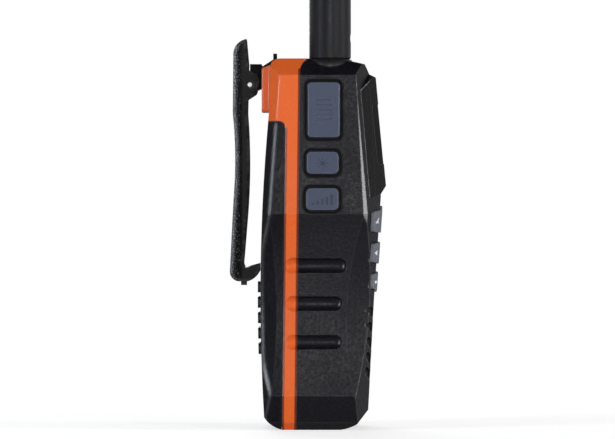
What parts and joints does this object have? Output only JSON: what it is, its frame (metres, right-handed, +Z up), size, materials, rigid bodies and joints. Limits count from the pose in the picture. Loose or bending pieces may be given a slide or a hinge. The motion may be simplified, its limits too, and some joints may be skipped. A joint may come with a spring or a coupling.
{
  "type": "handheld marine vhf radio",
  "caption": "Rugged handheld marine radio: black housing with an orange frame, side push-to-talk button, raised display, front keys, stub antenna and a sprung belt clip.",
  "frame": {"origin": "middle of the flat base the radio stands on, on the plane between its two sides", "axes": "+Z up towards the antenna, -Y out of the front with the keys, -X out of the push-to-talk side"},
  "size_m": [0.0628, 0.0584, 0.2958],
  "materials": {
    "housing_plastic": "fine spark-eroded texture",
    "frame_plastic": "satin orange",
    "seal_rubber": "smooth black",
    "steel": "plain",
    "lens": "hard gloss",
    "display": "liquid crystal module",
    "key_rubber": "satin grey, light marks",
    "circuit_board": "solder mask",
    "speaker_cloth": "fine black cloth",
    "speaker_body": "plain",
    "button_rubber": "satin slate grey",
    "switch_plastic": "plain",
    "antenna_rubber": "satin dark grey",
    "inner_plastic": "plain",
    "brass": "plated",
    "collar": "black",
    "cell_wrap": "shrink wrap",
    "clip_plastic": "leather-like grain"
  },
  "bodies": {
    "radio": {"front_housing": "housing_plastic", "mid_frame": "frame_plastic", "battery_case": "housing_plastic", "housing_gasket": "seal_rubber", "case_screws": "steel", "display_bezel": "housing_plastic", "display_lens": "lens", "display_module": "display", "keypad_mat": "seal_rubber", "key_board": "circuit_board", "key_board_screws": "steel", "speaker_mesh": "speaker_cloth", "speaker_seal": "seal_rubber", "speaker": "speaker_body", "mic_boot": "seal_rubber", "microphone": "steel", "ptt_boot": "seal_rubber", "lamp_boot": "seal_rubber", "squelch_boot": "seal_rubber", "tact_switches": "switch_plastic", "side_switch_board": "circuit_board", "antenna_sleeve": "antenna_rubber", "antenna_rod": "inner_plastic", "antenna_plug": "brass", "antenna_socket": "brass", "antenna_collar": "collar", "volume_control": "steel", "main_board": "circuit_board", "board_screws": "steel", "shield_cans": "steel", "accessory_cover": "seal_rubber", "accessory_screw": "steel", "accessory_socket": "brass", "battery_lid": "inner_plastic", "battery_cells": "cell_wrap", "protection_board": "circuit_board", "battery_terminals": "brass", "contact_pins": "brass", "charge_contacts": "steel", "clip_bracket": "housing_plastic"},
    "ptt": {"ptt_button": "button_rubber"},
    "lamp": {"lamp_button": "button_rubber"},
    "squelch": {"squelch_button": "button_rubber"},
    "channel_key": {"channel_key": "key_rubber"},
    "up_key": {"up_key": "key_rubber"},
    "scan_key": {"scan_key": "key_rubber"},
    "left_key": {"left_key": "key_rubber"},
    "enter_key": {"enter_key": "key_rubber"},
    "right_key": {"right_key": "key_rubber"},
    "menu_key": {"menu_key": "key_rubber"},
    "down_key": {"down_key": "key_rubber"},
    "clear_key": {"clear_key": "key_rubber"},
    "volume": {"volume_knob": "antenna_rubber", "volume_shaft": "steel"},
    "clip": {"clip_lever": "clip_plastic", "clip_pin": "steel", "clip_spring": "steel"}
  },
  "joints": [
    {"name": "ptt_press", "type": "slide", "parent": "radio", "child": "ptt", "axis": [0.9978, 0, -0.066], "range_m": [0, 0.001], "stiffness_N_per_m": 900, "springref_m": -0.001},
    {"name": "lamp_press", "type": "slide", "parent": "radio", "child": "lamp", "axis": [0.9978, 0, -0.066], "range_m": [0, 0.0007], "stiffness_N_per_m": 900, "springref_m": -0.001},
    {"name": "squelch_press", "type": "slide", "parent": "radio", "child": "squelch", "axis": [0.9978, 0, -0.066], "range_m": [0, 0.0007], "stiffness_N_per_m": 900, "springref_m": -0.001},
    {"name": "channel_key_press", "type": "slide", "parent": "radio", "child": "channel_key", "axis": [0, 1, 0], "range_m": [0, 0.0006], "stiffness_N_per_m": 900, "springref_m": -0.001},
    {"name": "up_key_press", "type": "slide", "parent": "radio", "child": "up_key", "axis": [0, 1, 0], "range_m": [0, 0.0006], "stiffness_N_per_m": 900, "springref_m": -0.001},
    {"name": "scan_key_press", "type": "slide", "parent": "radio", "child": "scan_key", "axis": [0, 1, 0], "range_m": [0, 0.0006], "stiffness_N_per_m": 900, "springref_m": -0.001},
    {"name": "left_key_press", "type": "slide", "parent": "radio", "child": "left_key", "axis": [0, 1, 0], "range_m": [0, 0.0006], "stiffness_N_per_m": 900, "springref_m": -0.001},
    {"name": "enter_key_press", "type": "slide", "parent": "radio", "child": "enter_key", "axis": [0, 1, 0], "range_m": [0, 0.0006], "stiffness_N_per_m": 900, "springref_m": -0.001},
    {"name": "right_key_press", "type": "slide", "parent": "radio", "child": "right_key", "axis": [0, 1, 0], "range_m": [0, 0.0006], "stiffness_N_per_m": 900, "springref_m": -0.001},
    {"name": "menu_key_press", "type": "slide", "parent": "radio", "child": "menu_key", "axis": [0, 1, 0], "range_m": [0, 0.0006], "stiffness_N_per_m": 900, "springref_m": -0.001},
    {"name": "down_key_press", "type": "slide", "parent": "radio", "child": "down_key", "axis": [0, 1, 0], "range_m": [0, 0.0006], "stiffness_N_per_m": 900, "springref_m": -0.001},
    {"name": "clear_key_press", "type": "slide", "parent": "radio", "child": "clear_key", "axis": [0, 1, 0], "range_m": [0, 0.0006], "stiffness_N_per_m": 900, "springref_m": -0.001},
    {"name": "volume_turn", "type": "hinge", "parent": "radio", "child": "volume", "pos_m": [0.0136, -0.0045, 0.138], "axis": [0, 0, -1], "range_deg": [0, 290]},
    {"name": "clip_pivot", "type": "hinge", "parent": "radio", "child": "clip", "pos_m": [0, 0.02545, 0.1285], "axis": [1, 0, 0], "range_deg": [0, 20], "stiffness_Nm_per_rad": 0.35, "springref_deg": -28.65}
  ]
}
